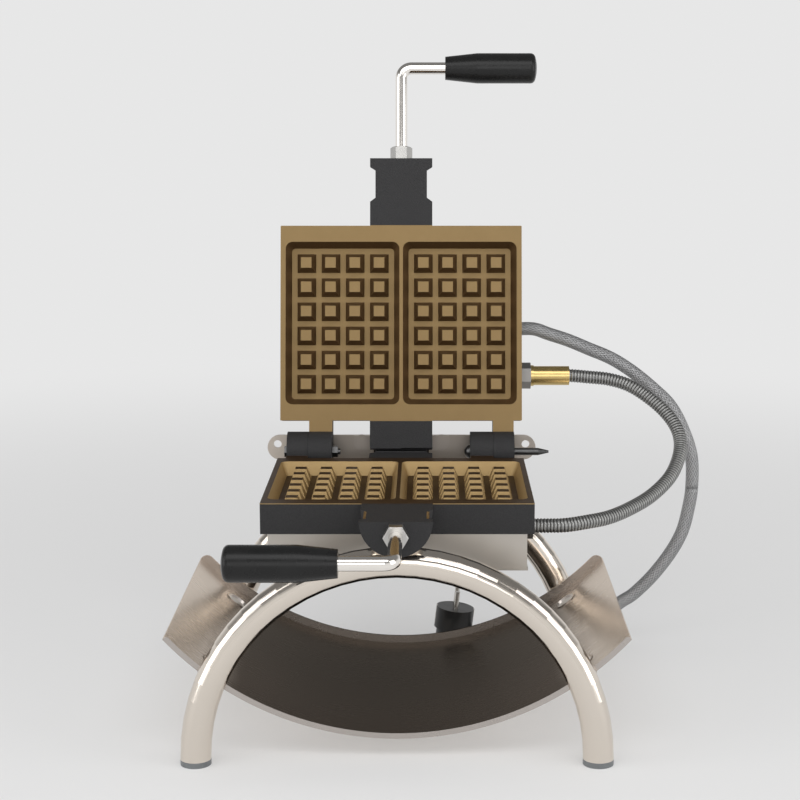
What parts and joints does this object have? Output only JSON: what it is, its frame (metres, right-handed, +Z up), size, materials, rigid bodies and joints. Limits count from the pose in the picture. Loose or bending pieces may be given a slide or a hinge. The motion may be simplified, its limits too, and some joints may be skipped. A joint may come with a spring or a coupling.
{
  "type": "waffle iron",
  "caption": "Double plate waffle iron with a hinged lid, turning in two saddles on arches of bent tube, with drip tray, side grips, hose and power cord.",
  "frame": {"origin": "on the floor, under the middle of the outline of the opened iron and its stand without the hose and the power cord", "axes": "+X to the right as the user stands at the grips, +Y to the back, +Z up"},
  "size_m": [0.5124, 0.504, 0.612],
  "materials": {
    "casting": "sand cast, raw dark grey",
    "polished_steel": "polished stainless steel",
    "satin_steel": "satin stainless steel, warm from heat",
    "mirror_steel": "mirror stainless sheet",
    "zinc_steel": "zinc plated steel",
    "element_steel": "dull element sheath",
    "insulation": "mineral wool felt",
    "ceramic": "glazed ceramic",
    "brass": "polished brass",
    "grip_black": "glossy black",
    "foot_grey": "grey translucent plastic",
    "hose_metal": "galvanised grey, ribbed",
    "braid": "steel wire braid",
    "plug_black": "black moulded plastic",
    "nickel": "nickel plated brass",
    "gland_black": "black plastic"
  },
  "bodies": {
    "stand": {"front_arch": "polished_steel", "rear_arch": "polished_steel", "foot_caps": "foot_grey", "front_saddle": "polished_steel", "rear_saddle": "polished_steel", "stop_bar": "mirror_steel", "bar_pads": "mirror_steel", "drip_tray": "satin_steel", "tray_brackets": "satin_steel", "tray_screws": "zinc_steel", "tray_rivet_nuts": "zinc_steel", "plug_body": "plug_black", "plug_pins": "nickel", "plug_earth_clips": "nickel"},
    "iron": {"lower_plate": "casting", "lower_box": "mirror_steel", "lower_element": "element_steel", "lower_clamps": "zinc_steel", "lower_clamp_screws": "zinc_steel", "lower_insulation": "insulation", "lower_terminal_block": "ceramic", "lower_terminals": "brass", "lower_box_screws": "zinc_steel", "lower_handle_rod": "polished_steel", "lower_handle_nut": "zinc_steel", "lower_grip": "grip_black", "hinge_bolt": "zinc_steel", "hinge_nut": "zinc_steel", "hinge_pin": "polished_steel", "lower_hose_gland": "zinc_steel", "hose": "hose_metal"},
    "lid": {"lid_plate": "casting", "lid_box": "mirror_steel", "lid_element": "element_steel", "lid_clamps": "zinc_steel", "lid_clamp_screws": "zinc_steel", "lid_insulation": "insulation", "lid_terminal_block": "ceramic", "lid_terminals": "brass", "lid_box_screws": "zinc_steel", "thermostat": "zinc_steel", "lid_handle_rod": "polished_steel", "lid_handle_nut": "zinc_steel", "lid_grip": "grip_black", "hose_nut": "zinc_steel", "brass_sleeve": "brass", "cord_gland": "gland_black", "power_cord": "braid"}
  },
  "joints": [
    {"name": "iron_turn", "type": "hinge", "parent": "stand", "child": "iron", "pos_m": [0, 0, 0.2222], "axis": [0, 1, 0], "range_deg": [-7, 7], "deforming": ["power_cord"]},
    {"name": "lid_hinge", "type": "hinge", "parent": "iron", "child": "lid", "pos_m": [0, 0.14765, 0.22235], "axis": [1, 0, 0], "range_deg": [0, 101.5], "deforming": ["power_cord", "hose"]}
  ]
}
